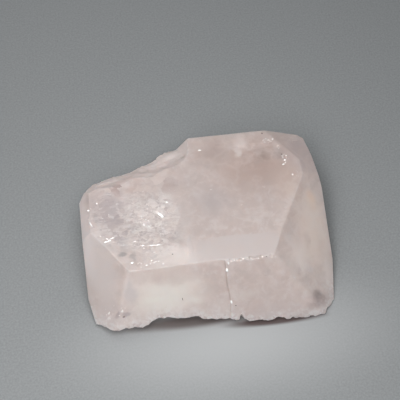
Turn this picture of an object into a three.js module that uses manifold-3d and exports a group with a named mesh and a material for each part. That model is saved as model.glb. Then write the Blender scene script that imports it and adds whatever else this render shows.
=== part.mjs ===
// A rough morganite crystal: one natural solid, a thick six-sided tablet of pink beryl lying on its lower base face.
// The upper base face is bounded by sloping pyramid faces and steep prism faces. One long side was broken away, and so
// was the foot of the front, where the break leaves a jagged rim that stands clear of the surface below.
// Millimetres, +Z up. +X runs along the front edge of the upper face, and the front faces -Y. The origin is under the
// middle of the crystal, on the plane of the lower base face.
import * as THREE from 'three';
import { mergeVertices } from 'three/addons/utils/BufferGeometryUtils.js';
import Module from 'manifold-3d';

const wasm = await Module();
wasm.setup();

// Driving dimensions
const THICKNESS = 8.3; // between the two base faces
const BLANK_LENGTH = 46;
const BLANK_DEPTH = 40;
const CUTTER = 80; // a cutting block, larger than the crystal
const CUTTER_SEGMENT = 0.9; // grid step of a rough cutting face

// Faces above the middle. azimuth is where the face looks in plan, in degrees from +X; slope is its tilt from level; and
// reach is how far from the origin it leaves the upper base face's level, measured in plan along the azimuth.
const UPPER_FACES = {
  frontMargin: { azimuth: -89, slope: 3.5, reach: 5.25 },
  frontPyramid: { azimuth: -88.5, slope: 45, reach: 9.28 },
  rightPyramid: { azimuth: -27.5, slope: 38, reach: 13.15 },
  rightMargin: { azimuth: 1, slope: 31, reach: 17.0 },
  backRightPyramid: { azimuth: 36, slope: 26, reach: 18.2 },
  leftMargin: { azimuth: 178, slope: 45, reach: 18.1 },
  leftPyramid: { azimuth: 216, slope: 45, reach: 15.8 },
};

// Prism faces, upright, at this reach from the origin at every height.
const PRISM_FACES = {
  right: { azimuth: 0, reach: 20.0 },
  rightBack: { azimuth: 7.5, reach: 20.3 },
  backCorner: { azimuth: 50, reach: 22.5 },
  back: { azimuth: 90, reach: 14.45 },
  leftBack: { azimuth: 144.5, reach: 18.85 },
  left: { azimuth: 180, reach: 19.6 },
};

// Faces below the middle, tilted back under the crystal. reach is measured on the plane of the lower base face.
const LOWER_FACES = {
  back: { azimuth: 90, slope: 52, reach: 12.7 },
  rightBack: { azimuth: 30, slope: 50, reach: 19.6 },
  right: { azimuth: 0, slope: 62, reach: 19.1 },
  left: { azimuth: 180, slope: 62, reach: 18.5 },
  leftBack: { azimuth: 140, slope: 55, reach: 17.0 },
};

// Broken faces: as the upper faces, with a relief of lumps and one broad hollow, of this depth and this place along.
const BROKEN_FACES = {
  backLeftShoulder: { azimuth: 111, slope: 37, reach: 11.3, relief: 0.45, lump: 3.4, seed: 3, hollow: 1.3, at: 3.0 },
  backLeftWall: { azimuth: 113, slope: 79, reach: 14.0, relief: 0.45, lump: 3.0, seed: 8, hollow: 1.3, at: 4.2 },
  frontRightCorner: { azimuth: -52, slope: 80, reach: 22.3, relief: 0.4, lump: 1.6, seed: 11, hollow: 0, at: 0 },
};
const HOLLOW_HALF = 6.3;
// The broken shoulder ends to the right in this steeper slope.
const SHOULDER_END = { azimuth: 171, slope: 55, reach: 2.15 };

// The front face steps forward to the right of an upright crack.
const CRACK_X = 2.05;
const CRACK_STEP = 0.53;

// The undercut left by the break along the foot of the front: it starts from the base at FOOT_Y and rises to the rim.
const FOOT_Y = -11.4;
const RIM_Y = -16.0;
const FOOT_DEPTH = 0.45; // how far below the base its surface starts, so that it leaves the base at an angle
const RIM_HEIGHTS = [
  [-19, 1.3],
  [-13.4, 1.4],
  [-11.2, 1.7],
  [-8.9, 2.55],
  [-5.3, 2.5],
  [-2.9, 2.1],
  [-1.3, 1.2],
  [3.4, 1.15],
  [5.9, 0.7],
  [11.2, 0.65],
  [16.0, 0.35],
  [20.0, 1.1],
];
const UNDERCUT_SEGMENT = 0.55;
const UNDERCUT_LUMP = 1.9;
const UNDERCUT_RELIEF = 0.3;
const RIM_TOOTH = 0.75;
const RIM_RELIEF = 0.25;

// Bites: shallow scoops where flakes have come away. Each has its middle and its half sizes along X, Y and Z.
const BITES = [
  { at: [-18.9, 1.6, 8.3], half: [1.0, 1.6, 1.0] }, // left edge of the upper face
  { at: [-1.9, 11.9, 8.9], half: [1.5, 1.1, 1.2] }, // where the broken shoulder meets the back
  { at: [4.0, -16.8, 1.1], half: [0.45, 1.3, 1.5] }, // notch in the front rim
  { at: [13.6, 14.9, 5.2], half: [2.6, 1.0, 2.2] }, // back face
  { at: [20.6, -2.0, 1.4], half: [1.1, 3.4, 1.7] }, // foot of the right face
];

// A row of small chips along the front edge of the upper face, right of the crack.
const CHIP_ROW = { from: 2.9, to: 9.4, y: -9.5, z: 8.02, count: 9, half: 0.45 };

const degrees = THREE.MathUtils.degToRad;

// One number from 0 to 1 for each corner of a square lattice.
function cornerValue(i, j, seed) {
  const s = Math.sin(i * 127.1 + j * 311.7 + seed * 74.7) * 43758.5453;
  return s - Math.floor(s);
}

// Smooth lumps of the given width over a plane, from -1 to 1.
function lumps(x, y, width, seed) {
  const [u, v] = [x / width, y / width];
  const [i, j] = [Math.floor(u), Math.floor(v)];
  const [a, b] = [u - i, v - j].map((t) => t * t * (3 - 2 * t));
  const near = THREE.MathUtils.lerp(cornerValue(i, j, seed), cornerValue(i + 1, j, seed), a);
  const far = THREE.MathUtils.lerp(cornerValue(i, j + 1, seed), cornerValue(i + 1, j + 1, seed), a);
  return THREE.MathUtils.lerp(near, far, b) * 2 - 1;
}

// Lumps with smaller ones on them, as a break through a crystal has.
function brokenRelief(x, y, width, seed) {
  return lumps(x, y, width, seed) + 0.4 * lumps(x, y, width / 2.3, seed + 1);
}

// Height along a run of [x, height] pairs.
function heightAlong(run, x) {
  const k = run.findIndex(([end]) => end >= x);
  if (k === 0) return run[0][1];
  if (k < 0) return run[run.length - 1][1];
  const [[x0, h0], [x1, h1]] = [run[k - 1], run[k]];
  return THREE.MathUtils.mapLinear(x, x0, x1, h0, h1);
}

// A three.js geometry as a solid.
function solid(geometry) {
  geometry.deleteAttribute('normal');
  geometry.deleteAttribute('uv');
  const merged = mergeVertices(geometry, 1e-4);
  return new wasm.Manifold(
    new wasm.Mesh({
      numProp: 3,
      vertProperties: merged.getAttribute('position').array,
      triVerts: new Uint32Array(merged.getIndex().array),
    }),
  );
}

// A block whose one face lies on the given crystal face and which fills the side away from the crystal. relief(u, v)
// lifts points of that face outwards; u runs level along the face and v up its slope.
function blockOutside({ azimuth, slope, reach }, level, relief = null) {
  const steps = relief ? Math.round(CUTTER / 2 / CUTTER_SEGMENT) : 1;
  const size = relief ? CUTTER / 2 : CUTTER;
  const block = new THREE.BoxGeometry(size, size, CUTTER / 2, steps, steps, 1);
  block.translate(0, 0, CUTTER / 4);
  const points = block.getAttribute('position');
  for (let k = 0; relief && k < points.count; k++)
    if (points.getZ(k) < 1) points.setZ(k, relief(points.getX(k), points.getY(k)));
  block.rotateX(degrees(slope)); // its face now looks along -Y and up
  block.rotateZ(degrees(azimuth + 90));
  const turn = degrees(azimuth);
  block.translate(reach * Math.cos(turn), reach * Math.sin(turn), level);
  return solid(block);
}

// The sum of a list of solids.
const together = (solids) => solids.reduce((sum, one) => sum.add(one));

function blank() {
  const block = new THREE.BoxGeometry(BLANK_LENGTH, BLANK_DEPTH, THICKNESS);
  return solid(block.translate(0, 0, THICKNESS / 2));
}

function flatFaceCutters() {
  const upper = Object.values(UPPER_FACES).map((face) => blockOutside(face, THICKNESS));
  const prism = Object.values(PRISM_FACES).map((face) => blockOutside({ ...face, slope: 90 }, 0));
  const lower = Object.values(LOWER_FACES).map((face) => blockOutside({ ...face, slope: 180 - face.slope }, 0));
  return together([...upper, ...prism, ...lower]);
}

// Left of the crack the front face stands back by the step.
function crackStepCutter() {
  const face = UPPER_FACES.frontPyramid;
  const setBack = blockOutside({ ...face, reach: face.reach - CRACK_STEP }, THICKNESS);
  const left = new THREE.BoxGeometry(CUTTER, CUTTER, CUTTER);
  return setBack.intersect(solid(left.translate(CRACK_X - CUTTER / 2, 0, 0)));
}

function brokenCutter(face) {
  return blockOutside(face, THICKNESS, (u, v) => {
    const hollow = face.hollow * Math.exp(-(((u - face.at) / HOLLOW_HALF) ** 4));
    return face.relief * brokenRelief(u, v, face.lump, face.seed) - hollow;
  });
}

function brokenCutters() {
  const { backLeftShoulder, backLeftWall, frontRightCorner } = BROKEN_FACES;
  const shoulder = brokenCutter(backLeftShoulder).intersect(blockOutside(SHOULDER_END, THICKNESS));
  return together([shoulder, brokenCutter(backLeftWall), brokenCutter(frontRightCorner)]);
}

// Height of the broken undercut above the plane of the base.
function undercutHeight(x, y) {
  const climb = THREE.MathUtils.clamp((FOOT_Y - y) / (FOOT_Y - RIM_Y), 0, 1.4);
  const rise = (heightAlong(RIM_HEIGHTS, x) + FOOT_DEPTH) * Math.pow(climb, 0.75);
  const lump = UNDERCUT_RELIEF * lumps(x, y, UNDERCUT_LUMP, 21) * Math.min(1, 1.6 * climb);
  const tooth = RIM_RELIEF * lumps(x, y, RIM_TOOTH, 22) * climb;
  return rise - FOOT_DEPTH + lump + tooth;
}

function undercutCutter() {
  const depth = 9;
  const below = 4;
  const middleY = FOOT_Y + 0.6 - depth / 2;
  const [across, along] = [BLANK_LENGTH, depth].map((size) => Math.round(size / UNDERCUT_SEGMENT));
  const block = new THREE.BoxGeometry(BLANK_LENGTH, depth, below, across, along, 1).translate(0, middleY, 0);
  const points = block.getAttribute('position');
  for (let k = 0; k < points.count; k++)
    points.setZ(k, points.getZ(k) > 0 ? undercutHeight(points.getX(k), points.getY(k)) : -below);
  return solid(block);
}

function biteCutters() {
  const scoops = BITES.map(({ at, half }) => {
    const scoop = new THREE.IcosahedronGeometry(1, 3);
    return solid(scoop.scale(...half).translate(...at));
  });
  for (let k = 0; k < CHIP_ROW.count; k++) {
    const x = THREE.MathUtils.lerp(CHIP_ROW.from, CHIP_ROW.to, k / (CHIP_ROW.count - 1));
    const half = CHIP_ROW.half * (0.6 + 0.7 * cornerValue(k, 5, 2));
    const chip = new THREE.IcosahedronGeometry(half, 1).rotateX(k).rotateZ(2 * k);
    scoops.push(solid(chip.translate(x, CHIP_ROW.y, CHIP_ROW.z)));
  }
  return together(scoops);
}

// A solid as a three.js geometry with flat shading.
function geometryOf(manifold) {
  const { vertProperties, triVerts } = manifold.getMesh();
  const geometry = new THREE.BufferGeometry();
  geometry.setAttribute('position', new THREE.BufferAttribute(vertProperties, 3));
  geometry.setIndex(new THREE.BufferAttribute(triVerts, 1));
  const flat = geometry.toNonIndexed();
  flat.computeVertexNormals();
  return flat;
}

function crystal() {
  const cut = together([
    flatFaceCutters(),
    crackStepCutter(),
    brokenCutters(),
    undercutCutter(),
    biteCutters(),
  ]);
  const pieces = blank().subtract(cut).decompose();
  pieces.sort((a, b) => b.volume() - a.volume());
  const mesh = new THREE.Mesh(
    geometryOf(pieces[0]),
    new THREE.MeshStandardMaterial({ color: 0xdcc6bf, roughness: 0.25, metalness: 0, transparent: true, opacity: 0.8 }),
  );
  mesh.name = 'morganite_crystal';
  return mesh;
}

const part = new THREE.Group();
part.add(crystal());

export default part;
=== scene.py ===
import math

import bpy
import numpy as np
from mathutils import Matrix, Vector


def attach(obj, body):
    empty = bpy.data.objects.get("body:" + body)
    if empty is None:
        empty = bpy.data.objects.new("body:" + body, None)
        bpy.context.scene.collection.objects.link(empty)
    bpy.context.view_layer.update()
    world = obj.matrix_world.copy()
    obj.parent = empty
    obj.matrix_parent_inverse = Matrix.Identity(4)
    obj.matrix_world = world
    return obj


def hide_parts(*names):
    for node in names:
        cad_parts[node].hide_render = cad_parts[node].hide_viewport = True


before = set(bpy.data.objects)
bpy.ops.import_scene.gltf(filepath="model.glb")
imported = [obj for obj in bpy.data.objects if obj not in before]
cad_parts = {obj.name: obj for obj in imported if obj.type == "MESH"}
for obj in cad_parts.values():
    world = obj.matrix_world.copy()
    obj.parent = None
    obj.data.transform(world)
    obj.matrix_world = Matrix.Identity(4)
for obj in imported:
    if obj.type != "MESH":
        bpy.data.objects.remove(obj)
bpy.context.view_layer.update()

MM = 0.001
CRYSTAL = "morganite_crystal"

# Faces of the crystal, each with its azimuth, slope and reach: where it looks in plan, its tilt from level,
# and how far along its azimuth it leaves the level of its base face. Upright faces have no slope.
THICKNESS = 8.3
UPPER_FACES = {
    "front margin": (-87.3, 3.5, 5.39),
    "right pyramid": (-27.5, 36.9, 12.75),
    "right margin": (1, 31, 17.0),
    "back right pyramid": (36, 26, 18.2),
    "left margin": (178, 45, 18.1),
    "left pyramid": (216, 45, 15.8),
}
FRONT_PYRAMID = (-88.5, 45, 9.28)
PRISM_FACES = [(0, 20.0), (7.5, 20.3), (50, 22.5), (90, 14.45), (144.5, 18.85), (180, 19.6), (270, 16.8)]
LOWER_FACES = [(90, 52, 12.7), (30, 50, 19.6), (0, 62, 19.1), (180, 62, 18.5), (140, 55, 17.0)]

# Broken faces, each also with the height and width of its lumps, the depth and place of its one broad
# hollow and its share of fine ridges
SHOULDER = dict(
    azimuth=111, slope=37, reach=11.3, relief=0.45, lump=3.4, seed=3, hollow=0.6, at=3.0, fine=0.5
)
BROKEN_WALL = dict(
    azimuth=113, slope=79, reach=14.0, relief=0.45, lump=3.0, seed=8, hollow=0.3, at=4.2, fine=1.0
)
BROKEN_CORNER = dict(
    azimuth=-52, slope=80, reach=22.6, relief=0.4, lump=1.6, seed=11, hollow=0.0, at=0.0, fine=1.0
)
HOLLOW_HALF = 6.3
SHOULDER_END = (171, 55, 2.95)
# Height and width of the fine ridges on a break, and their slant
RIDGES = [(0.13, 1.5), (0.07, 0.75), (0.035, 0.38)]
RIDGE_SLANT = 0.4

# The crack across the front, and the undercut along its foot
CRACK_X = 2.2
CRACK_STEP = 0.4
STEP_WIDTH = 0.05
FOOT_Y = -11.4
RIM_Y = -16.0
FOOT_DEPTH = 0.45
RIM_X = [-19, -13.4, -11.2, -8.9, -5.3, -2.9, -1.3, 3.4, 5.9, 11.2, 16.0, 20.0]
RIM_Z = [1.3, 1.4, 1.7, 2.55, 2.5, 2.1, 1.2, 1.05, 0.45, 0.3, 0.1, 0.7]
RIM_LIP = 0.09

# Shallow scoops where flakes have come away: middle and half sizes. The first two cut the upper faces.
TOP_BITES = 2
BITES = [
    ((-18.9, 1.6, 8.3), (0.7, 1.1, 0.7)),
    ((-1.6, 12.1, 8.8), (0.9, 0.7, 0.8)),
    ((4.0, -16.8, 1.1), (0.45, 1.3, 1.5)),
    ((13.6, 14.9, 5.2), (2.6, 1.0, 2.2)),
    ((20.9, -2.0, 2.2), (1.2, 3.0, 1.6)),
]
BITE_RAG = 0.3
FAR_ABOVE = 99.0
CHIPS = dict(start=2.9, end=9.4, y=-9.45, z=8.04, count=13, half=0.3)

# Places in the stack of upper surfaces: the base face, the front pyramid face, UPPER_FACES in their order,
# the shoulder, the bites that cut the upper faces, and the chips
FRONT = 1
FRONT_MARGIN, RIGHT_PYRAMID, LEFT_PYRAMID = (
    2 + list(UPPER_FACES).index(name) for name in ("front margin", "right pyramid", "left pyramid")
)
FIRST_BROKEN = 2 + len(UPPER_FACES)

# Growth relief: the patch with steps, the heights of steps, broad swells and small ones, and the depth of all
STEPS_MIDDLE = (9.5, -2.8)
STEPS_HALF = (2.2, 1.6)
STEP_HEIGHT = 0.012
SWELL_HEIGHT = 0.02
RIPPLE_HEIGHT = 0.006
GROWTH_DEPTH = 0.05

# Fineness of the crystal's surface
SHEET_CELLS = 190
WALL_ROWS = 26
EDGE_WEAR = 0.02
CREASE_WEAR = 0.22
MIDDLE = (0.2, -1.2)
HALF_LENGTH = 19.8
HALF_DEPTH = 15.6
RADIUS_LIMITS = (5.0, 32.0)
HALVINGS = 26

# How far the masks that the material reads reach, and the share that the broken top has of a full break
MARGIN_DEPTH = 0.5
TOP_FADE = 0.3
WALL_DEPTH = 2.2
RIM_FADE = 0.8
UNDER_SKIN = 0.05
BROKEN_TOP_SHARE = 0.55


def corner_value(i, j, seed):
    """A number from 0 to 1 for each corner of a lattice: the fraction of a large multiple of a sine."""
    s = np.sin(i * 127.1 + j * 311.7 + seed * 74.7) * 43758.5453
    return s - np.floor(s)


def lumps(x, y, width, seed):
    """Smooth lumps of this width, from -1 to 1: lattice corner values blended by the smoothstep curve."""
    u, v = x / width, y / width
    i, j = np.floor(u), np.floor(v)
    a, b = u - i, v - j
    a, b = a * a * (3 - 2 * a), b * b * (3 - 2 * b)
    near = corner_value(i, j, seed) * (1 - a) + corner_value(i + 1, j, seed) * a
    far = corner_value(i, j + 1, seed) * (1 - a) + corner_value(i + 1, j + 1, seed) * a
    return 2 * (near * (1 - b) + far * b) - 1


def fine_break(u, v, seed):
    """Small steps on a break: slanting ridges, each one minus twice the size of lumps, at falling widths."""
    height = 0
    for k, (size, width) in enumerate(RIDGES):
        height = height + size * (1 - 2 * np.abs(lumps(u + RIDGE_SLANT * v, v, width, seed + k)))
    return height


def past(azimuth, reach, x, y):
    """How far (x, y) lies past a face's line: its distance along the azimuth, less the reach."""
    turn = math.radians(azimuth)
    return x * math.cos(turn) + y * math.sin(turn) - reach


def broken_relief(face, u, v):
    """Lumps with smaller ones and fine ridges, less the broad hollow: a flat-bottomed bell along u."""
    width, seed = face["lump"], face["seed"]
    coarse = lumps(u, v, width, seed) + 0.4 * lumps(u, v, width / 2.3, seed + 1)
    hollow = face["hollow"] * np.exp(-(((u - face["at"]) / HOLLOW_HALF) ** 4))
    return face["relief"] * coarse - hollow + face["fine"] * fine_break(u, v, seed + 30)


def along_face(azimuth, x, y):
    """Distance level along a face, from the point nearest the origin."""
    turn = math.radians(azimuth)
    return y * math.cos(turn) - x * math.sin(turn)


def shoulder_height(x, y):
    """Height of the broken shoulder: its plane with relief, or the higher slope that ends it."""
    slope = math.radians(SHOULDER["slope"])
    out = past(SHOULDER["azimuth"], SHOULDER["reach"], x, y)
    relief = broken_relief(SHOULDER, along_face(SHOULDER["azimuth"], x, y), -out / math.cos(slope))
    surface = THICKNESS - out * math.tan(slope) + relief / math.cos(slope)
    end_azimuth, end_slope, end_reach = SHOULDER_END
    end = THICKNESS - past(end_azimuth, end_reach, x, y) * math.tan(math.radians(end_slope))
    return np.maximum(surface, end + 0.25 * lumps(x, y, 0.9, 41))


def crack_x(y):
    """The crack's place along x: a gentle double bend about CRACK_X."""
    return CRACK_X + 0.16 * np.tanh((-11.5 - y) / 1.5) + 0.07 * np.sin(1.7 * y)


def front_height(x, y):
    """Height of the front pyramid face, which stands back by the step to the left of the crack."""
    azimuth, slope, reach = FRONT_PYRAMID
    left = 1 / (1 + np.exp((x - crack_x(y)) / STEP_WIDTH))
    return THICKNESS - (past(azimuth, reach, x, y) + CRACK_STEP * left) * math.tan(math.radians(slope))


def scoop_heights(x, y, middle, half):
    """Height of a scoop's lower half over (x, y), far above the crystal outside its footprint."""
    inside = 1 - ((x - middle[0]) / half[0]) ** 2 - ((y - middle[1]) / half[1]) ** 2
    return np.where(inside > 0, middle[2] - half[2] * np.sqrt(np.maximum(inside, 0)), FAR_ABOVE)


def chip_spheres():
    """The row of small chips right of the crack, as scoops."""
    places = np.linspace(CHIPS["start"], CHIPS["end"], CHIPS["count"])
    halves = CHIPS["half"] * (0.6 + 0.7 * corner_value(np.arange(CHIPS["count"]), 5, 2))
    return [((x, CHIPS["y"], CHIPS["z"]), (half, half, half)) for x, half in zip(places, halves)]


def growth_relief(x, y):
    """Shallow swells that every grown face has, and faint growth steps in one patch, all under 0.1 mm."""
    across, back = (x - STEPS_MIDDLE[0]) / STEPS_HALF[0], (y - STEPS_MIDDLE[1]) / STEPS_HALF[1]
    stairs = np.tanh(4 * np.sin(7.5 * (y + 0.05 * x) + 1.4 * lumps(x, y, 5.0, 51)))
    steps = STEP_HEIGHT * np.exp(-(across**2) - back**2) * stairs
    swells = SWELL_HEIGHT * lumps(x, y, 4.5, 52) + RIPPLE_HEIGHT * lumps(x, y, 1.1, 53)
    return swells + steps - GROWTH_DEPTH


def soft_minimum(heights, wear):
    """The least of stacked heights with worn creases: minus wear times the log of summed exp(-height / wear)."""
    low = heights.min(0)
    return low - wear * np.log(np.exp(-(heights - low) / wear).sum(0))


def upper_heights(x, y):
    """Heights of all upper surfaces over (x, y), stacked: grown faces first, then broken ones. The front
    pyramid face is rounded into the pyramid faces beside it."""
    grown = [np.full_like(x, THICKNESS), front_height(x, y)]
    for azimuth, slope, reach in UPPER_FACES.values():
        grown.append(THICKNESS - past(azimuth, reach, x, y) * math.tan(math.radians(slope)))
    grown = [height + growth_relief(x + 7 * k, y) for k, height in enumerate(grown)]
    beside = [grown[k] for k in (FRONT, RIGHT_PYRAMID, LEFT_PYRAMID)]
    grown[FRONT] = soft_minimum(np.stack(beside), CREASE_WEAR)
    scoops = [scoop_heights(x, y, middle, half) for middle, half in BITES[:TOP_BITES] + chip_spheres()]
    scoops = [height + 0.5 * fine_break(x, y, 60 + k) for k, height in enumerate(scoops)]
    return np.stack(grown + [shoulder_height(x, y)] + scoops)


def top_height(x, y):
    """The lowest of the upper surfaces, with its edges worn."""
    return soft_minimum(upper_heights(x, y), EDGE_WEAR)


def undercut_height(x, y):
    """Height of the broken undercut: a curved climb to the rim, with lumps, teeth and fine ridges."""
    climb = np.clip((FOOT_Y - y) / (FOOT_Y - RIM_Y), 0, 1.4)
    rise = (np.interp(x, RIM_X, RIM_Z) + FOOT_DEPTH) * climb**0.75
    lump = 0.3 * lumps(x, y, 1.9, 21) * np.minimum(1, 1.6 * climb)
    tooth = 0.18 * lumps(x, y, 0.75, 22) * climb
    return rise - FOOT_DEPTH + lump + tooth + fine_break(x, y, 24) * climb


def bottom_height(x, y):
    """The highest of the base plane, the lower faces and the undercut."""
    heights = [np.zeros_like(x)]
    for azimuth, slope, reach in LOWER_FACES:
        heights.append(past(azimuth, reach, x, y) * math.tan(math.radians(slope)))
    heights.append(np.where(y < FOOT_Y + 0.6, undercut_height(x, y), -1.0))
    return np.maximum(np.stack(heights).max(0), 0)


def wall_excess(x, y, z):
    """How far a point is outside the upright faces, the broken ones and the bites: negative inside."""
    excess = [past(azimuth, reach, x, y) for azimuth, reach in PRISM_FACES]
    for face in (BROKEN_WALL, BROKEN_CORNER):
        slope = math.radians(face["slope"])
        out = past(face["azimuth"], face["reach"], x, y)
        rise = z - THICKNESS
        along = along_face(face["azimuth"], x, y)
        up = rise * math.sin(slope) - out * math.cos(slope)
        relief = broken_relief(face, along, up)
        excess.append(out * math.sin(slope) + rise * math.cos(slope) - relief)
    for middle, half in BITES:
        scaled = [(p - m) / h for p, m, h in zip((x, y, z), middle, half)]
        rag = BITE_RAG * lumps(x + 0.7 * y, z + 0.5 * y, 0.8, 70)
        excess.append(1 - sum(s * s for s in scaled) - BITE_RAG + rag)
    excess.append(RIM_LIP - (top_height(x, y) - bottom_height(x, y)))
    return np.stack(excess).max(0)


def outline_radius(angle, height_at):
    """Largest radius at each angle where a surface is inside the walls, found by halving an interval."""
    low, high = (np.full_like(angle, limit) for limit in RADIUS_LIMITS)
    for _ in range(HALVINGS):
        radius = (low + high) / 2
        x, y = MIDDLE[0] + radius * np.cos(angle), MIDDLE[1] + radius * np.sin(angle)
        inside = wall_excess(x, y, height_at(x, y)) < 0
        low, high = np.where(inside, radius, low), np.where(inside, high, radius)
    return low


def ring_of(index):
    """The border of a square sheet's vertex numbers, anticlockwise from its low corner."""
    return np.concatenate([index[:-1, 0], index[-1, :-1], index[:0:-1, -1], index[0, :0:-1]])


def sheet(unit_x, unit_y, height_at):
    """A square sheet drawn out to the outline: each ring of the square is the outline at the ring's scale."""
    share = np.maximum(np.abs(unit_x), np.abs(unit_y))
    angle = np.arctan2(unit_y * HALF_DEPTH, unit_x * HALF_LENGTH)
    border_angle = ring_of(angle)
    border_radius = outline_radius(border_angle, height_at)
    order = np.argsort(border_angle)
    radius = share * np.interp(angle, border_angle[order], border_radius[order], period=2 * math.pi)
    x, y = MIDDLE[0] + radius * np.cos(angle), MIDDLE[1] + radius * np.sin(angle)
    return np.stack([x, y, height_at(x, y)], -1), border_angle


def crystal_surface():
    """The closed surface: an upper sheet, a lower sheet, and rows of wall between their borders."""
    steps = np.linspace(-1, 1, SHEET_CELLS + 1)
    unit_x, unit_y = np.meshgrid(steps, steps, indexing="ij")
    top, angle = sheet(unit_x, unit_y, top_height)
    bottom, _ = sheet(unit_x, unit_y, bottom_height)
    top_index = np.arange(top[..., 0].size).reshape(unit_x.shape)
    bottom_index = top_index + top_index.size
    fall = (np.arange(1, WALL_ROWS) / WALL_ROWS)[:, None]
    upper, lower = (ring_of(s[..., 2]) for s in (top, bottom))
    height = upper * (1 - fall) + lower * fall
    around = np.broadcast_to(angle, height.shape)
    radius = outline_radius(around, lambda x, y: height)
    wall = np.stack([MIDDLE[0] + radius * np.cos(around), MIDDLE[1] + radius * np.sin(around), height], -1)
    wall_index = 2 * top_index.size + np.arange(height.size).reshape(height.shape)
    rows = np.vstack([ring_of(top_index), wall_index, ring_of(bottom_index)])
    rows = np.hstack([rows, rows[:, :1]])
    points = np.concatenate([p.reshape(-1, 3) for p in (top, bottom, wall)])
    return points, [quads(top_index), quads(bottom_index)[:, ::-1], quads(rows)[:, ::-1]]


def quads(index):
    """Four-cornered faces between neighbouring rows and columns of a grid of vertex numbers."""
    corners = (index[:-1, :-1], index[1:, :-1], index[1:, 1:], index[:-1, 1:])
    return np.stack([c.ravel() for c in corners], -1)


def mesh_object(name, points, faces, crisp=180):
    """A smooth-shaded mesh object at the origin, from points in millimetres and arrays of quads. Its edges
    are sharp where the surface turns by more than crisp degrees."""
    mesh = bpy.data.meshes.new(name)
    faces = np.concatenate(faces)
    mesh.from_pydata((points * MM).tolist(), [], faces.tolist())
    mesh.shade_smooth()
    mesh.set_sharp_from_angle(angle=math.radians(crisp))
    mesh.update()
    piece = bpy.data.objects.new(name, mesh)
    bpy.context.scene.collection.objects.link(piece)
    return piece


def give_mask(piece, name, values):
    """Stores one number for each vertex as a named attribute that materials read."""
    mask = piece.data.attributes.new(name, "FLOAT", "POINT")
    mask.data.foreach_set("value", np.asarray(values, np.float32))


def surface_masks(points):
    """Values for the material: how broken a point is, how near the rim, if it is on the front margin, and
    how far past the crack."""
    x, y, z = points.T
    heights = upper_heights(x, y)
    low = heights.min(0)
    lowest = heights.argmin(0)
    margin = (lowest == FRONT_MARGIN) * (z > low - MARGIN_DEPTH)
    on_top = np.clip(1 - (low - z) / TOP_FADE, 0, 1)
    broken_top = (lowest >= FIRST_BROKEN) * (lowest <= FIRST_BROKEN + TOP_BITES) * on_top
    outside = [past(face["azimuth"], face["reach"], x, y) for face in (BROKEN_WALL, BROKEN_CORNER)]
    wall = (np.maximum(*outside) > -WALL_DEPTH) & (on_top < 0.5)
    bottom = bottom_height(x, y)
    rim = np.exp(-np.maximum(top_height(x, y) - bottom, 0) / RIM_FADE) * (y < FOOT_Y)
    under = (y < FOOT_Y) & (z < bottom + UNDER_SKIN)
    broken = np.maximum.reduce([BROKEN_TOP_SHARE * broken_top, wall * 1.0, rim, under * 1.0])
    rim = np.maximum(rim, under)
    return {"broken": broken, "rim": rim, "margin": margin, "crack_offset": x - crack_x(y)}


def flattened_balls(middles, halves, turns, tilts, waves, seed, rings=10, spokes=24):
    """Closed thin lenses: points of balls by angle around and angle from the pole, with a ragged rim and a
    wavy middle, tilted about their length and then turned. Each cap is a fan of quads about its pole."""
    middles, halves = np.asarray(middles, float), np.asarray(halves, float)
    fall = math.pi * np.arange(1, rings) / rings
    around = 2 * math.pi * np.arange(spokes) / spokes
    which = np.arange(len(middles))[:, None, None]
    fall, around = fall[None, :, None], around[None, None, :]
    swings = (np.sin(k * around + 7.1 * k * corner_value(which, k, seed)) * (0.4 / k) for k in (2, 3, 5, 8))
    rag = 1 + sum(swings) * 0.6
    x = halves[:, 0, None, None] * np.sin(fall) * np.cos(around) * rag
    y = halves[:, 1, None, None] * np.sin(fall) * np.sin(around) * rag
    width = halves[:, 0, None, None]
    wave = np.asarray(waves, float)[:, None, None]
    z = halves[:, 2, None, None] * np.cos(fall) + wave * lumps(x / width + which, y / width, 0.45, seed)
    pole_wave = wave[:, :, 0] * lumps(which[:, :, 0].astype(float), 0 * which[:, :, 0], 0.45, seed)
    poles = np.zeros((len(middles), 2, 3))
    poles[:, :, 2] = halves[:, 2:] * [1, -1] + pole_wave
    points = np.concatenate([np.stack([x, y, z], -1).reshape(len(middles), -1, 3), poles], 1)
    turned = np.einsum("nij,nkj->nki", turning(turns, tilts), points) + middles[:, None]
    index = np.arange((rings - 1) * spokes).reshape(rings - 1, spokes)
    faces = [quads(np.hstack([index, index[:, :1]]))]
    for ring, pole, flip in ((index[0], index.size, 1), (index[-1], index.size + 1, -1)):
        start, middle, end = ring[0::2], ring[1::2], np.roll(ring[0::2], -1)
        faces.append(np.stack([np.full_like(start, pole), start, middle, end], -1)[:, ::flip])
    faces = np.concatenate(faces)
    offsets = (points.shape[1] * np.arange(len(middles)))[:, None, None]
    return turned.reshape(-1, 3), [(faces[None] + offsets).reshape(-1, 4)]


def turning(turns, tilts):
    """Rotation matrices: a tilt about +X and then a turn about +Z, both in degrees."""
    turn, tilt = np.radians(turns), np.radians(tilts)
    ct, st, cx, sx, o = np.cos(turn), np.sin(turn), np.cos(tilt), np.sin(tilt), np.zeros(len(turn))
    return np.stack([ct, -st * cx, st * sx, st, ct * cx, -ct * sx, o, sx, cx], -1).reshape(-1, 3, 3)


# Materials
def new_material(name):
    """An empty material and its node tree."""
    material = bpy.data.materials.new(name)
    material.use_nodes = True
    tree = material.node_tree
    tree.nodes.clear()
    return material, tree


def add(tree, kind, values=None, **properties):
    """Adds a node with these properties, and with values for its inputs by their names."""
    node = tree.nodes.new(kind)
    for key, value in properties.items():
        setattr(node, key, value)
    for socket, value in (values or {}).items():
        node.inputs[socket].default_value = value
    return node


def attribute(tree, name):
    """The socket that reads a value stored for each vertex."""
    return add(tree, "ShaderNodeAttribute", attribute_name=name).outputs["Fac"]


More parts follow.
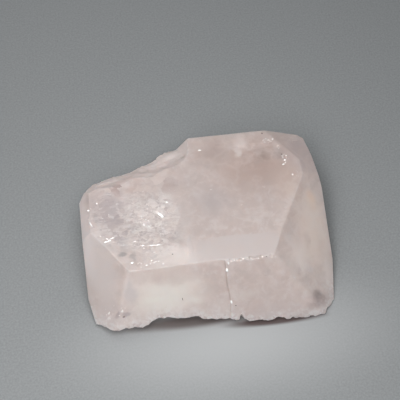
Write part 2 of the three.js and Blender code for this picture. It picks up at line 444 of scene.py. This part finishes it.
def noise(tree, place, scale, detail, roughness):
    """Noise over a place, as its node's outputs."""
    values = {"Scale": scale, "Detail": detail, "Roughness": roughness}
    node = add(tree, "ShaderNodeTexNoise", values)
    tree.links.new(place, node.inputs["Vector"])
    return node.outputs


def remap(tree, value, low, high, least, most):
    """Takes a value of low to least and one of high to most, and holds it between them."""
    values = {"From Min": low, "From Max": high, "To Min": least, "To Max": most}
    node = add(tree, "ShaderNodeMapRange", values)
    tree.links.new(value, node.inputs["Value"])
    return node.outputs["Result"]


def calculate(tree, operation, *terms):
    """A math node over sockets and plain numbers, and its result's socket."""
    node = add(tree, "ShaderNodeMath", operation=operation)
    for term, socket in zip(terms, node.inputs):
        if isinstance(term, float):
            socket.default_value = term
        else:
            tree.links.new(term, socket)
    return node.outputs[0]


def mix(tree, factor, a, b):
    """Mixes two colours, each a socket or a plain colour, and gives the result's socket."""
    node = add(tree, "ShaderNodeMix", data_type="RGBA")
    tree.links.new(factor, node.inputs[0])
    for value, socket in ((a, node.inputs[6]), (b, node.inputs[7])):
        if isinstance(value, tuple):
            socket.default_value = (*value, 1)
        else:
            tree.links.new(value, socket)
    return node.outputs[2]


def node_group(name, inputs, outputs):
    """An empty shader node group with named inputs and outputs, and its inner input and output nodes."""
    group = bpy.data.node_groups.new(name, "ShaderNodeTree")
    for side, sockets in (("INPUT", inputs), ("OUTPUT", outputs)):
        for socket, kind in sockets:
            group.interface.new_socket(socket, in_out=side, socket_type="NodeSocket" + kind)
    return group, group.nodes.new("NodeGroupInput").outputs, group.nodes.new("NodeGroupOutput").inputs


def make_patch_group():
    """A soft round patch: one at its middle, and zero past its half sizes, by the smoothstep curve."""
    sockets = [(name, "Vector") for name in ("Position", "Middle", "Half Size")] + [("Softness", "Float")]
    group, given, result = node_group("soft_patch", sockets, [("Mask", "Float")])
    link = group.links.new
    shift = add(group, "ShaderNodeVectorMath", operation="SUBTRACT")
    link(given["Position"], shift.inputs[0])
    link(given["Middle"], shift.inputs[1])
    scale = add(group, "ShaderNodeVectorMath", operation="DIVIDE")
    link(shift.outputs[0], scale.inputs[0])
    link(given["Half Size"], scale.inputs[1])
    size = add(group, "ShaderNodeVectorMath", operation="LENGTH")
    link(scale.outputs[0], size.inputs[0])
    inner = calculate(group, "SUBTRACT", 1.0, given["Softness"])
    ends = {"From Max": 1.0, "To Min": 1.0, "To Max": 0.0}
    fade = add(group, "ShaderNodeMapRange", ends, interpolation_type="SMOOTHSTEP")
    link(size.outputs["Value"], fade.inputs["Value"])
    link(inner, fade.inputs["From Min"])
    link(fade.outputs["Result"], result["Mask"])
    return group


def make_mottle_group():
    """Two colours mixed by noise, which gives the low one at the least value and the high one at the most."""
    sockets = [("Position", "Vector")] + [(name, "Float") for name in ("Scale", "Detail", "Least", "Most")]
    sockets += [("Low Color", "Color"), ("High Color", "Color")]
    group, given, result = node_group("mottle", sockets, [("Color", "Color")])
    grain = add(group, "ShaderNodeTexNoise")
    for source, socket in (("Scale", "Scale"), ("Detail", "Detail"), ("Position", "Vector")):
        group.links.new(given[source], grain.inputs[socket])
    share = add(group, "ShaderNodeMapRange")
    group.links.new(grain.outputs["Fac"], share.inputs["Value"])
    group.links.new(given["Least"], share.inputs["From Min"])
    group.links.new(given["Most"], share.inputs["From Max"])
    blend = mix(group, share.outputs["Result"], given["Low Color"], given["High Color"])
    group.links.new(blend, result["Color"])
    return group


PATCH_GROUP = make_patch_group()
MOTTLE_GROUP = make_mottle_group()


def patch(tree, place, middle, half, soft):
    """Places the soft patch group, with its middle and half sizes in millimetres, and gives its mask."""
    node = add(tree, "ShaderNodeGroup", node_tree=PATCH_GROUP)
    tree.links.new(place, node.inputs["Position"])
    node.inputs["Middle"].default_value = [m * MM for m in middle]
    node.inputs["Half Size"].default_value = [h * MM for h in half]
    node.inputs["Softness"].default_value = soft
    return node.outputs["Mask"]


def mottle(tree, place, scale, detail, least, most, low, high):
    """Places the mottle group and gives its colour."""
    node = add(tree, "ShaderNodeGroup", node_tree=MOTTLE_GROUP)
    tree.links.new(place, node.inputs["Position"])
    for socket, value in (("Scale", scale), ("Detail", detail), ("Least", least), ("Most", most)):
        node.inputs[socket].default_value = value
    node.inputs["Low Color"].default_value = (*low, 1)
    node.inputs["High Color"].default_value = (*high, 1)
    return node.outputs["Color"]


def tint(tree, place, colour, middle, half, soft, new_colour, share=1.0):
    """Lays a new colour over a soft round patch of the old one."""
    mask = patch(tree, place, middle, half, soft)
    if share < 1:
        mask = calculate(tree, "MULTIPLY", mask, share)
    return mix(tree, mask, colour, new_colour)


def mottled(tree, place, colour, size, pale, dark):
    """Lightens and darkens a colour in clouds of this noise scale."""
    density = noise(tree, place, size, 4.0, 0.55)["Fac"]
    for low, high, cloud in ((0.52, 0.68, pale), (0.48, 0.32, dark)):
        colour = mix(tree, remap(tree, density, low, high, 0.0, 0.6), colour, cloud)
    return colour


def flaky(tree, place, colour, mask, size, pale, dark):
    """Makes some irregular cells of this scale paler and some darker, where the mask is."""
    cells = add(tree, "ShaderNodeTexVoronoi", {"Scale": size})
    tree.links.new(place, cells.inputs["Vector"])
    chance = add(tree, "ShaderNodeSeparateColor")
    tree.links.new(cells.outputs["Color"], chance.inputs[0])
    for channel, cell in ((0, pale), (1, dark)):
        there = remap(tree, chance.outputs[channel], 0.6, 1.0, 0.0, 1.0)
        colour = mix(tree, calculate(tree, "MULTIPLY", there, mask), colour, cell)
    return colour


def wisps(tree, place, colour, mask, size, width, pale, share):
    """Thin pale curves where noise of this scale passes its middle value, all over or where a mask is."""
    centred = calculate(tree, "SUBTRACT", noise(tree, place, size, 3.0, 0.5)["Fac"], 0.5)
    curve = remap(tree, calculate(tree, "ABSOLUTE", centred), width, 0.0, 0.0, share)
    if mask is not None:
        curve = calculate(tree, "MULTIPLY", curve, mask)
    return mix(tree, curve, colour, pale)


# Range over which cloud noise moves the place, in metres
DRIFT = 0.0035
# Clouds: noise scale, pale colour, dark colour
MOTTLES = [
    (130.0, (0.83, 0.76, 0.73), (0.67, 0.59, 0.57)),
    (420.0, (0.85, 0.79, 0.77), (0.63, 0.55, 0.52)),
    (1100.0, (0.84, 0.77, 0.75), (0.67, 0.59, 0.56)),
]
# Soft regions of colour, some of them painted light and shade on whole faces: middle, half sizes, softness,
# colour, share
TINTS = [
    # Warmer tone with painted shade over the back right of the top, standing in for the dark room it reflects
    ((10, 8, 8), (11, 9, 7), 0.9, (0.62, 0.485, 0.435), 1.0),
    # Lavender tone with painted shade on the back right face, which faces away from the light
    ((17.8, 9.5, 7), (5, 6, 5), 0.7, (0.62, 0.54, 0.53), 0.9),
    # Painted light, with a warmer tone, on the right face
    ((17, -3, 4), (5, 10, 6), 0.8, (0.98, 0.84, 0.77), 0.9),
    # Cream tone with painted light on the front face
    ((-7.5, -12.5, 5), (9, 6, 6), 0.9, (1.0, 0.93, 0.87), 1.0),
    ((9, -16.2, 1.5), (10, 3, 3), 0.8, (0.67, 0.57, 0.55), 0.8),
    # Paler grey tone on the left face, partly its colour and partly painted light
    ((-17.5, -7, 6), (4, 9, 7), 0.7, (0.785, 0.72, 0.70), 1.0),
    # Painted light on the left margin face, with a pinker tone
    ((-19.2, -1, 6), (2.2, 10, 5), 0.7, (0.87, 0.80, 0.79), 0.9),
    ((-16, -13.5, 2.5), (4, 3, 3), 0.8, (0.69, 0.62, 0.61), 0.7),
    ((-8, -1, 8), (8, 8, 6), 0.7, (0.74, 0.66, 0.63), 0.9),
    ((-14.9, 1.5, 8), (2.8, 5.5, 4), 0.7, (0.56, 0.50, 0.50), 0.9),
    ((-13.4, -6.3, 8.2), (1.2, 0.7, 1), 0.6, (0.42, 0.38, 0.37), 0.9),
    ((-11.8, -6.8, 8.2), (0.7, 1.1, 1), 0.6, (0.43, 0.39, 0.38), 0.8),
    ((16.8, -14.5, 1.6), (2.5, 1.6, 2.4), 0.9, (0.26, 0.21, 0.21), 0.95),
    ((16.6, -15.6, 1.2), (1.2, 0.8, 2), 0.8, (0.40, 0.34, 0.34), 0.8),
    ((-1.65, 11.9, 7.5), (0.8, 0.6, 1.5), 0.6, (0.39, 0.33, 0.29), 0.9),
    ((-8, -10.4, 7.2), (6.5, 1.3, 1.6), 0.9, (0.72, 0.62, 0.59), 0.8),
    ((14, 4, 8), (3.5, 6, 5), 0.9, (0.72, 0.58, 0.52), 0.8),
    ((1.5, 1.5, 8), (5, 4.5, 5), 1.0, (0.605, 0.54, 0.53), 0.85),
    ((10.9, 9.6, 8), (2.4, 2.2, 3), 0.9, (0.47, 0.37, 0.33), 0.9),
    ((2.2, 10.8, 8), (4.5, 4, 3), 0.9, (0.58, 0.47, 0.43), 0.85),
    ((-17.3, 4, 8), (2.5, 3, 2), 0.8, (0.58, 0.51, 0.50), 0.8),
    ((-13, 4.6, 8), (1.6, 1.2, 2), 0.8, (0.60, 0.53, 0.52), 0.8),
    ((-13.4, -3.2, 8), (1.3, 1.8, 2), 0.8, (0.53, 0.50, 0.49), 0.7),
    ((-7.4, -2.7, 8), (1.8, 1.4, 2), 0.8, (0.57, 0.53, 0.52), 0.8),
    ((-14.0, -1.9, 8), (1.2, 1.4, 2), 0.8, (0.53, 0.47, 0.46), 0.7),
    ((-10.3, 1.6, 8), (0.8, 1.3, 2), 0.8, (0.57, 0.51, 0.49), 0.6),
    ((-11.6, -5.0, 8), (0.9, 0.9, 2), 0.8, (0.54, 0.50, 0.49), 0.6),
    ((-13.2, 0.9, 8), (0.9, 0.8, 2), 0.8, (0.84, 0.77, 0.75), 0.8),
    ((-13.0, -11.5, 5.5), (1.6, 2.4, 3), 0.8, (0.67, 0.63, 0.63), 0.8),
    ((-14.0, -14.3, 3.4), (1.0, 0.7, 1), 0.7, (0.40, 0.34, 0.35), 0.9),
    ((-15.4, -13.9, 3.4), (0.6, 0.8, 1), 0.7, (0.42, 0.36, 0.37), 0.9),
    ((-16.6, -13.7, 2.6), (0.4, 0.4, 1), 0.7, (1.0, 0.96, 0.94), 0.9),
    ((-9.2, -12.6, 5), (2.6, 0.9, 1.5), 0.9, (1.0, 0.97, 0.90), 0.8),
    ((-3.5, -13.8, 4), (3.0, 0.9, 1.5), 0.9, (1.0, 0.95, 0.89), 0.7),
    ((-5.5, -11.0, 6.5), (3.5, 0.9, 1.5), 0.9, (0.76, 0.68, 0.64), 0.7),
    ((5.5, -13.4, 4), (2.5, 0.8, 1.5), 0.9, (0.82, 0.76, 0.72), 0.7),
    ((-5, -7.6, 8.2), (6.5, 2.4, 2), 0.8, (0.96, 0.88, 0.85), 0.9),
    ((14.2, -8.5, 5.5), (2.6, 4, 4), 0.9, (1.0, 0.90, 0.86), 0.8),
    ((17.6, 1.0, 6), (1.6, 3, 3), 0.9, (0.98, 0.78, 0.66), 0.8),
    ((18.6, -6.0, 4), (1.2, 4, 3), 0.9, (0.83, 0.71, 0.65), 0.7),
    ((16.0, -5.5, 5), (0.9, 1.6, 3), 0.8, (0.69, 0.57, 0.52), 0.6),
    ((15.8, -10.2, 4), (1.5, 1.3, 2), 0.6, (0.82, 0.74, 0.72), 0.8),
    ((14.0, -11.2, 5), (0.5, 1.4, 2), 0.7, (0.64, 0.55, 0.53), 0.6),
    ((7.3, 12.2, 8), (1.5, 2.8, 2), 0.9, (0.93, 0.83, 0.80), 0.9),
    ((8.6, 10.9, 8), (2.0, 0.9, 1), 0.7, (0.98, 0.89, 0.86), 0.8),
    ((6.7, 10.4, 8), (0.8, 1.6, 1), 0.7, (0.97, 0.88, 0.85), 0.8),
    ((11.4, 11.6, 8), (1.6, 1.2, 1), 0.9, (0.84, 0.74, 0.71), 0.7),
    ((13.4, 10.4, 8), (0.8, 1.8, 1), 0.7, (0.83, 0.74, 0.71), 0.7),
    ((9.9, 8.0, 8), (1.6, 0.8, 1), 0.8, (0.60, 0.49, 0.45), 0.7),
    ((10.0, 3.2, 8), (0.45, 0.4, 1), 0.8, (1.0, 0.93, 0.90), 1.0),
    ((10.9, 2.2, 8), (0.25, 1.0, 1), 0.8, (0.79, 0.71, 0.69), 0.7),
    ((6.3, 0.6, 8), (0.25, 0.25, 1), 0.8, (1.0, 0.93, 0.90), 0.8),
    ((1.3, 4.0, 8), (0.25, 0.25, 1), 0.8, (1.0, 0.93, 0.90), 0.8),
    ((-9.5, 5.2, 8), (4.5, 1.3, 3), 0.9, (0.60, 0.49, 0.45), 0.7),
    ((-3.2, 8.0, 8), (2.4, 2.0, 3), 0.9, (0.64, 0.53, 0.49), 0.3),
    ((13.5, 9.6, 8), (1.4, 1.4, 1), 0.8, (0.42, 0.34, 0.32), 0.8),
    ((3.6, 12.2, 8), (2.0, 2.2, 2), 0.9, (0.56, 0.45, 0.42), 0.7),
    ((-9.0, -3.4, 8), (1.6, 1.2, 2), 0.9, (0.66, 0.59, 0.57), 0.6),
    ((-1.7, 11.6, 8), (0.6, 0.6, 2), 0.8, (0.33, 0.27, 0.24), 0.9),
    ((-17.0, 0.6, 8), (0.5, 1.6, 2), 0.7, (0.49, 0.44, 0.43), 0.7),
    ((-7.3, 0.5, 8), (1.7, 1.7, 2), 0.9, (1.0, 0.95, 0.93), 0.7),
    ((-5.9, 2.9, 8), (1.9, 1.6, 2), 0.9, (1.0, 0.95, 0.93), 0.7),
    ((-12.9, -4.9, 8), (1.0, 1.4, 2), 0.8, (0.50, 0.46, 0.45), 0.6),
    ((19.0, -10.5, 2), (1.3, 3, 2), 0.8, (1.0, 0.86, 0.82), 0.7),
    ((15.4, -15.7, 1.5), (1.6, 0.9, 1.5), 0.8, (0.34, 0.27, 0.27), 0.8),
    ((15.6, 2.0, 8), (1.2, 2.8, 3), 0.9, (0.64, 0.51, 0.47), 0.6),
    ((13.2, -2.6, 8), (1.2, 2.6, 3), 0.9, (0.66, 0.55, 0.51), 0.6),
]


def drifted(tree, place):
    """The place moved about by cloud noise, half of DRIFT each way, so that regions get uneven borders."""
    clouds = noise(tree, place, 170.0, 5.0, 0.62)["Color"]
    shifted = add(tree, "ShaderNodeVectorMath", operation="SUBTRACT")
    tree.links.new(place, shifted.inputs[0])
    shifted.inputs[1].default_value = [DRIFT / 2] * 3
    moved = add(tree, "ShaderNodeVectorMath", operation="MULTIPLY_ADD")
    tree.links.new(clouds, moved.inputs[0])
    moved.inputs[1].default_value = [DRIFT] * 3
    tree.links.new(shifted.outputs[0], moved.inputs[2])
    return moved.outputs[0]


def clouded_colour(tree, place, drifting, window):
    """The stone's colour, with painted light and shade on some whole faces: clouds and soft regions, then flakes
    and wisps where the stone is clearer.
    """
    colour = mottle(tree, place, 170.0, 5.0, 0.0, 1.0, (0.70, 0.59, 0.55), (0.77, 0.67, 0.64))
    for size, pale, dark in MOTTLES:
        colour = mottled(tree, drifting, colour, size, pale, dark)
    for middle, half, soft, new_colour, share in TINTS:
        colour = tint(tree, drifting, colour, middle, half, soft, new_colour, share)
    veiled = patch(tree, drifting, (-14.5, 0.5, 8), (4.5, 7, 6), 0.6)
    slant = add(tree, "ShaderNodeMapping")
    tree.links.new(drifting, slant.inputs[0])
    slant.inputs["Rotation"].default_value = (0, 0, math.radians(40))
    slant.inputs["Scale"].default_value = (1.0, 2.2, 1.0)
    slanted = slant.outputs[0]
    for size in (800.0, 1900.0):
        colour = flaky(tree, slanted, colour, window, size, (0.90, 0.83, 0.80), (0.56, 0.49, 0.48))
    colour = flaky(tree, slanted, colour, veiled, 1300.0, (0.84, 0.78, 0.77), (0.50, 0.44, 0.45))
    bruised = patch(tree, drifting, (-9.5, 5.8, 8), (9, 2.6, 4), 0.6)
    colour = flaky(tree, drifting, colour, bruised, 620.0, (0.82, 0.72, 0.68), (0.50, 0.39, 0.37))
    right = patch(tree, place, (16, -4, 5), (6, 14, 8), 0.4)
    back = patch(tree, place, (9, 11, 8), (8, 5, 4), 0.5)
    colour = wisps(tree, drifting, colour, right, 260.0, 0.08, (1.0, 0.90, 0.84), 0.3)
    colour = wisps(tree, drifting, colour, back, 330.0, 0.1, (1.0, 0.88, 0.84), 0.3)
    colour = wisps(tree, drifting, colour, window, 520.0, 0.04, (1.0, 0.97, 0.95), 0.4)
    return wisps(tree, place, colour, None, 190.0, 0.05, (0.90, 0.80, 0.76), 0.2)


def marked_colour(tree, place, colour, broken):
    """Lays the strip along the front margin, the crack's dark line and the pale breaks, partly painted light,
    over the colour.
    """
    margin, crack, rim = (attribute(tree, name) for name in ("margin", "crack_offset", "rim"))
    strip = patch(tree, place, (5, -7.3, 8.2), (10, 4, 2), 0.5)
    on_strip = calculate(tree, "MULTIPLY", strip, margin)
    colour = mix(tree, on_strip, colour, (0.75, 0.68, 0.66))
    line = remap(tree, calculate(tree, "ABSOLUTE", crack), 0.14, 0.02, 0.0, 0.5)
    front = patch(tree, place, (2.4, -12.5, 5), (2, 5, 5), 0.3)
    on_line = calculate(tree, "MULTIPLY", line, front)
    colour = mix(tree, on_line, colour, (0.42, 0.32, 0.28))
    # Breaks are paler stone; on the back-facing shoulder this pale colour is also painted light
    pale_break_and_painted_light = calculate(tree, "MULTIPLY", broken, 0.9)
    colour = mix(tree, pale_break_and_painted_light, colour, (1.0, 0.90, 0.87))
    for size in (1500.0, 2600.0):
        colour = flaky(tree, place, colour, rim, size, (1.0, 0.98, 0.97), (0.66, 0.53, 0.50))
    return colour


def surface_shader(tree, colour, values):
    """The one shader, with this colour and plain values, linked to the output. Gives the inputs of both."""
    shader = add(tree, "ShaderNodeBsdfPrincipled", values)
    tree.links.new(colour, shader.inputs["Base Color"])
    output = add(tree, "ShaderNodeOutputMaterial")
    tree.links.new(shader.outputs[0], output.inputs["Surface"])
    return shader.inputs, output.inputs


def morganite():
    """Clouded pale pink beryl: glass that passes most light, with a milky share under a worn, finely etched
    skin. Breaks are rougher, and the clear window is smoother."""
    material, tree = new_material("morganite")
    link = tree.links.new
    place = add(tree, "ShaderNodeTexCoord").outputs["Object"]
    broken = attribute(tree, "broken")
    drifting = drifted(tree, place)
    window = patch(tree, drifting, (-8.6, -1.2, 8), (6.5, 8, 6), 0.6)
    colour = clouded_colour(tree, place, drifting, window)
    colour = marked_colour(tree, place, colour, broken)
    values = {"Transmission Weight": 0.6, "IOR": 1.58, "Subsurface Weight": 0.5}
    values |= {"Subsurface Radius": (1.0, 0.8, 0.7), "Subsurface Scale": 0.003}
    shader, output = surface_shader(tree, colour, values)
    rough = remap(tree, broken, 0.0, 1.0, 0.38, 0.5)
    clear = remap(tree, window, 0.0, 1.0, 1.0, 0.76)
    link(calculate(tree, "MULTIPLY", rough, clear), shader["Roughness"])
    bump = add(tree, "ShaderNodeBump", {"Strength": 0.2, "Distance": 0.0001})
    link(noise(tree, place, 1400.0, 4.0, 0.6)["Fac"], bump.inputs["Height"])
    link(bump.outputs[0], shader["Normal"])
    absorb = add(tree, "ShaderNodeVolumeAbsorption", {"Color": (0.96, 0.85, 0.81, 1), "Density": 35.0})
    link(absorb.outputs[0], output["Volume"])
    return material


def simple_material(name, low, high, scale, roughness, transmission=0.0, metallic=0.0):
    """A mottled material: two colours mixed by fine noise, with plain values for the rest of the shader."""
    material, tree = new_material(name)
    place = add(tree, "ShaderNodeTexCoord").outputs["Object"]
    colour = mottle(tree, place, scale, 3.0, 0.0, 1.0, low, high)
    values = {"Roughness": roughness, "Transmission Weight": transmission, "Metallic": metallic}
    surface_shader(tree, colour, values)
    return material


def floor_material():
    """A pale grey surface of very fine grain, with a painted pool of light in front and painted shadow under the
    rim.
    """
    material, tree = new_material("pale_grey_floor")
    place = add(tree, "ShaderNodeTexCoord").outputs["Object"]
    low, high = (0.158, 0.164, 0.166), (0.208, 0.214, 0.216)
    colour = mottle(tree, place, 3200.0, 2.0, 0.25, 0.75, low, high)
    # Painted pool of light on the floor in front of the crystal
    colour = tint(tree, place, colour, (2.5, -18.5, 0), (35, 14.8, 20), 1.0, (0.305, 0.308, 0.31), 0.9)
    # Painted shadow on the floor under the front rim
    colour = tint(tree, place, colour, (-4, -15.1, 0), (13, 1.6, 9), 0.7, (0.10, 0.085, 0.082))
    colour = tint(tree, place, colour, (9.2, -16.5, 0), (9.8, 1.1, 9), 0.6, (0.07, 0.05, 0.048))
    surface_shader(tree, colour, {"Roughness": 0.7})
    return material


# Flaws in the crystal: (x, y, depth under the surface there), half sizes, turn, tilt and waviness. Those of
# negative depth stand out of the surface.
VEILS = [
    ((-7.6, 0.2, 0.9), (4.2, 3.6, 0.10), 20, 12, 0.35),
    ((-9.0, -4.6, 1.0), (4.2, 2.4, 0.10), -15, -14, 0.35),
    ((-3.4, -5.6, 0.4), (2.6, 0.5, 0.05), 84, 30, 0.1),
    ((-12.8, 3.0, 1.0), (2.4, 1.5, 0.08), 30, 14, 0.25),
    ((7.4, 12.2, 0.25), (1.0, 0.35, 0.05), 75, 8, 0.08),
    ((8.3, 11.6, 0.3), (0.9, 0.28, 0.05), 50, 8, 0.08),
    ((9.4, 11.3, 0.25), (1.2, 0.3, 0.05), 60, -8, 0.08),
    ((10.4, 12.4, 0.3), (0.8, 0.3, 0.05), 20, 8, 0.05),
    ((14.6, -10.2, 0.25), (1.1, 1.9, 0.05), 62, 38, 0.08),
    ((2.3, -7.8, 2.6), (2.6, 1.4, 0.04), 90, 86, 0.05),
    ((-13.9, -13.5, 0.3), (1.0, 0.3, 0.05), 30, 45, 0.05),
    ((-16.3, -13.4, 0.2), (0.5, 0.2, 0.05), 10, 45, 0.05),
]
# White flakes at the skin standing in for glints off open cracks: painted glints, with a little real reflection
# from their metal share
GLINTS = [
    ((-7.06, 0.2, -0.04), (0.36, 0.3, 0.03), -50, 4, 0),
    ((-6.7, -0.2, -0.04), (0.26, 0.2, 0.03), -50, 4, 0),
    ((-5.62, 2.35, -0.04), (0.2, 0.15, 0.03), 0, 4, 0),
    ((-10.24, -5.15, -0.04), (0.18, 0.11, 0.03), 0, 4, 0),
    ((-8.2, -5.35, -0.04), (0.9, 0.05, 0.03), -4, 4, 0),
    ((-15.9, -3.8, -0.04), (0.3, 0.1, 0.03), 10, 4, 0),
    ((-14.9, -3.3, -0.04), (0.4, 0.05, 0.03), 12, 4, 0),
    ((-18.15, 2.4, -0.04), (0.17, 0.14, 0.03), 0, 4, 0),
    ((-18, -0.25, -0.04), (0.6, 0.06, 0.03), -65, 4, 0),
    ((-12.18, -8, -0.04), (0.22, 0.12, 0.03), 0, 4, 0),
    ((2.62, -9.75, -0.02), (0.09, 0.25, 0.04), 0, 44, 0),
    ((2.3, -10.5, -0.04), (0.17, 0.3, 0.06), 0, 44, 0),
    ((2.55, -14.2, -0.04), (0.16, 0.28, 0.06), 0, 44, 0),
    ((2.64, -2.7, -0.04), (0.04, 0.5, 0.03), 0, 4, 0),
    ((0.86, 11.8, -0.04), (0.28, 0.12, 0.03), 0, 4, 0),
    ((14.48, 8.1, -0.04), (0.14, 0.16, 0.03), 0, 4, 0),
    ((14.1, 7.3, -0.04), (0.22, 0.1, 0.03), 0, 4, 0),
]
SPECKS = [
    ((11.6, 13.9, 0.05), (0.2, 0.14, 0.1), 0, 0, 0),
    ((-5.8, -7.25, 0.08), (0.15, 0.13, 0.1), 0, 0, 0),
    ((-5.0, -13.1, 0.1), (0.07, 0.32, 0.1), 10, 45, 0),
    ((14.1, 9.3, 0.06), (0.16, 0.12, 0.08), 0, 0, 0),
    ((13.7, 9.6, 0.06), (0.12, 0.08, 0.06), 0, 0, 0),
    ((13.4, 9.1, 0.06), (0.12, 0.07, 0.06), 0, 0, 0),
    ((9.3, 13.0, 0.06), (0.1, 0.07, 0.06), 0, 0, 0),
    ((8.6, -9.35, 0.05), (0.1, 0.08, 0.06), 0, 0, 0),
    ((3.2, -14.6, 0.05), (0.12, 0.1, 0.06), 0, 0, 0),
    ((-14.2, -14.4, 0.12), (0.35, 0.16, 0.1), 30, 45, 0),
]
# Clusters of tiny flakes: middle and spread along x and y, count, largest half size and turn
CLUSTERS = [
    ((-7.2, 0.6), (0.9, 1.0), 22, 0.17, -50),
    ((-9.6, -1.3), (0.4, 0.9), 12, 0.16, -55),
    ((-8.6, -5.3), (1.5, 0.12), 10, 0.18, 0),
    ((-15.2, -3.6), (0.8, 0.5), 12, 0.2, 10),
    ((-11.5, -4.5), (1.6, 1.6), 18, 0.14, 20),
    ((-10.2, -8.2), (2.0, 0.4), 16, 0.18, 5),
    ((-16.8, 1.0), (1.0, 2.4), 12, 0.16, -60),
    ((-6.5, 4.5), (3.0, 1.2), 12, 0.12, 30),
    ((6.2, -9.42), (2.2, 0.08), 22, 0.16, 5),
    ((14.2, 8.5), (0.5, 0.7), 12, 0.15, 40),
    ((12.3, 12.4), (0.5, 0.3), 12, 0.15, 0),
    ((15.4, 5.2), (0.4, 0.3), 9, 0.15, 0),
    ((13.8, 10.8), (0.2, 0.8), 8, 0.12, 80),
    ((2.3, -12.0), (0.08, 1.6), 8, 0.1, 90),
    ((-14.5, -13.8), (1.4, 0.6), 12, 0.14, 30),
]
# A flake's half thickness, and how far its middle stands over the surface
FLAKE_HALF = 0.03
# Least cover between a flaw and the level of the upper base face
TOP_COVER = 0.01


def flake_clusters(seed):
    """Tiny flakes scattered about the middle of each cluster, turned and tilted a little at random."""
    random = np.random.default_rng(seed)
    flakes = []
    for middle, spread, count, largest, turn in CLUSTERS:
        shifts = np.clip(random.normal(size=(count, 2)), -1.8, 1.8) * spread
        places = np.column_stack([middle + shifts, np.full(count, -FLAKE_HALF)])
        sizes = largest * random.uniform(0.25, 1, count)
        widths = sizes * random.uniform(0.25, 0.7, count)
        halves = np.column_stack([sizes, widths, np.full(count, FLAKE_HALF)])
        turns = turn + random.normal(size=count) * 25
        flakes += list(zip(places, halves, turns, random.uniform(1, 6, count), np.zeros(count)))
    return flakes


def add_flaws(name, flaws, seed, material):
    """Makes all flaws of one kind as one piece, each at its depth, or deeper to keep its cover. A lens rises
    over its middle by its tilted, ragged half width, its half thickness and its waviness."""
    middles, halves, turns, tilts, waves = (np.array(values, float) for values in zip(*flaws))
    rise = 1.25 * halves[:, 1] * np.abs(np.sin(np.radians(tilts))) + halves[:, 2] + waves
    wanted = top_height(middles[:, 0], middles[:, 1]) - middles[:, 2]
    middles[:, 2] = np.minimum(wanted, THICKNESS - TOP_COVER - rise)
    piece = mesh_object(name, *flattened_balls(middles, halves, turns, tilts, waves, seed))
    piece.data.materials.append(material)
    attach(piece, "root")


# The crystal
points, faces = crystal_surface()
crystal = mesh_object("crystal", points, faces, crisp=14)
for mask_name, values in surface_masks(points).items():
    give_mask(crystal, mask_name, values)
crystal.data.materials.append(morganite())
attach(crystal, "root")
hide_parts(CRYSTAL)
veil = simple_material("healed_veil", (0.83, 0.78, 0.76), (0.95, 0.91, 0.89), 600.0, 0.5, transmission=0.45)
add_flaws("veils", VEILS, 3, veil)
# Painted glints: white flakes, partly metallic
glint = simple_material("painted_glint_flake", (0.98, 0.97, 0.96), (1.0, 1.0, 1.0), 900.0, 0.3, metallic=0.3)
add_flaws("glints", GLINTS, 5, glint)
flake = simple_material("pale_flake", (0.82, 0.75, 0.73), (0.94, 0.89, 0.87), 900.0, 0.5)
add_flaws("flakes", flake_clusters(17), 6, flake)
speck = simple_material("dark_grain", (0.16, 0.12, 0.11), (0.26, 0.20, 0.18), 2000.0, 0.5)
add_flaws("specks", SPECKS, 8, speck)

# The floor
FLOOR_HALF = 400.0
FLOOR_Z = -0.02
corners = np.array([[-1, -1, 0], [1, -1, 0], [1, 1, 0], [-1, 1, 0]]) * FLOOR_HALF + [0, 0, FLOOR_Z]
floor = mesh_object("floor", corners, [np.array([[0, 1, 2, 3]])])
floor.data.materials.append(floor_material())

# Light and camera
CAMERA_TURN = -7.3
CAMERA_RISE = 57.0
CAMERA_VIEW = 20.0
CAMERA_DISTANCE = 186.0
LOOK_AT = (0, 4.5, 4.5)


def direction(turn, rise):
    """The unit vector towards a place at this turn from the front and this rise above level, in degrees."""
    turn, rise = math.radians(turn), math.radians(rise)
    return np.array([math.sin(turn) * math.cos(rise), -math.cos(turn) * math.cos(rise), math.sin(rise)])


def aim(thing, place, target):
    """Puts a light or camera at a place, looking at a target."""
    thing.location = Vector(place) * MM
    thing.rotation_euler = (Vector(target) - Vector(place)).to_track_quat("-Z", "Y").to_euler()
    bpy.context.scene.collection.objects.link(thing)


def soft_light(name, turn, rise, distance, size, power, mirrored=True):
    """A square soft box, aimed at the crystal. One that isn't mirrored gives light but no highlights."""
    lamp = bpy.data.lights.new(name, "AREA")
    lamp.size = size * MM
    lamp.energy = power
    box = bpy.data.objects.new(name, lamp)
    box.visible_glossy = mirrored
    aim(box, direction(turn, rise) * distance, (0, 0, 3))


camera = bpy.data.cameras.new("camera")
camera.sensor_width = 36
camera.lens = camera.sensor_width / 2 / math.tan(math.radians(CAMERA_VIEW / 2))
camera.clip_start = 0.01
camera.clip_end = 10
viewer = bpy.data.objects.new("camera", camera)
aim(viewer, direction(CAMERA_TURN, CAMERA_RISE) * CAMERA_DISTANCE + LOOK_AT, LOOK_AT)
bpy.context.scene.camera = viewer

soft_light("key soft box", -12, 78, 115, 80, 0.092)
soft_light("front left fill", -28, 52, 110, 60, 0.065, mirrored=False)
soft_light("back left fill", -150, 50, 150, 80, 0.045, mirrored=False)

world = bpy.data.worlds.new("room")
bpy.context.scene.world = world
world.use_nodes = True
room = world.node_tree.nodes["Background"]
room.inputs["Color"].default_value = (0.75, 0.78, 0.8, 1)
room.inputs["Strength"].default_value = 0.51
bpy.context.scene.view_settings.view_transform = "Standard"
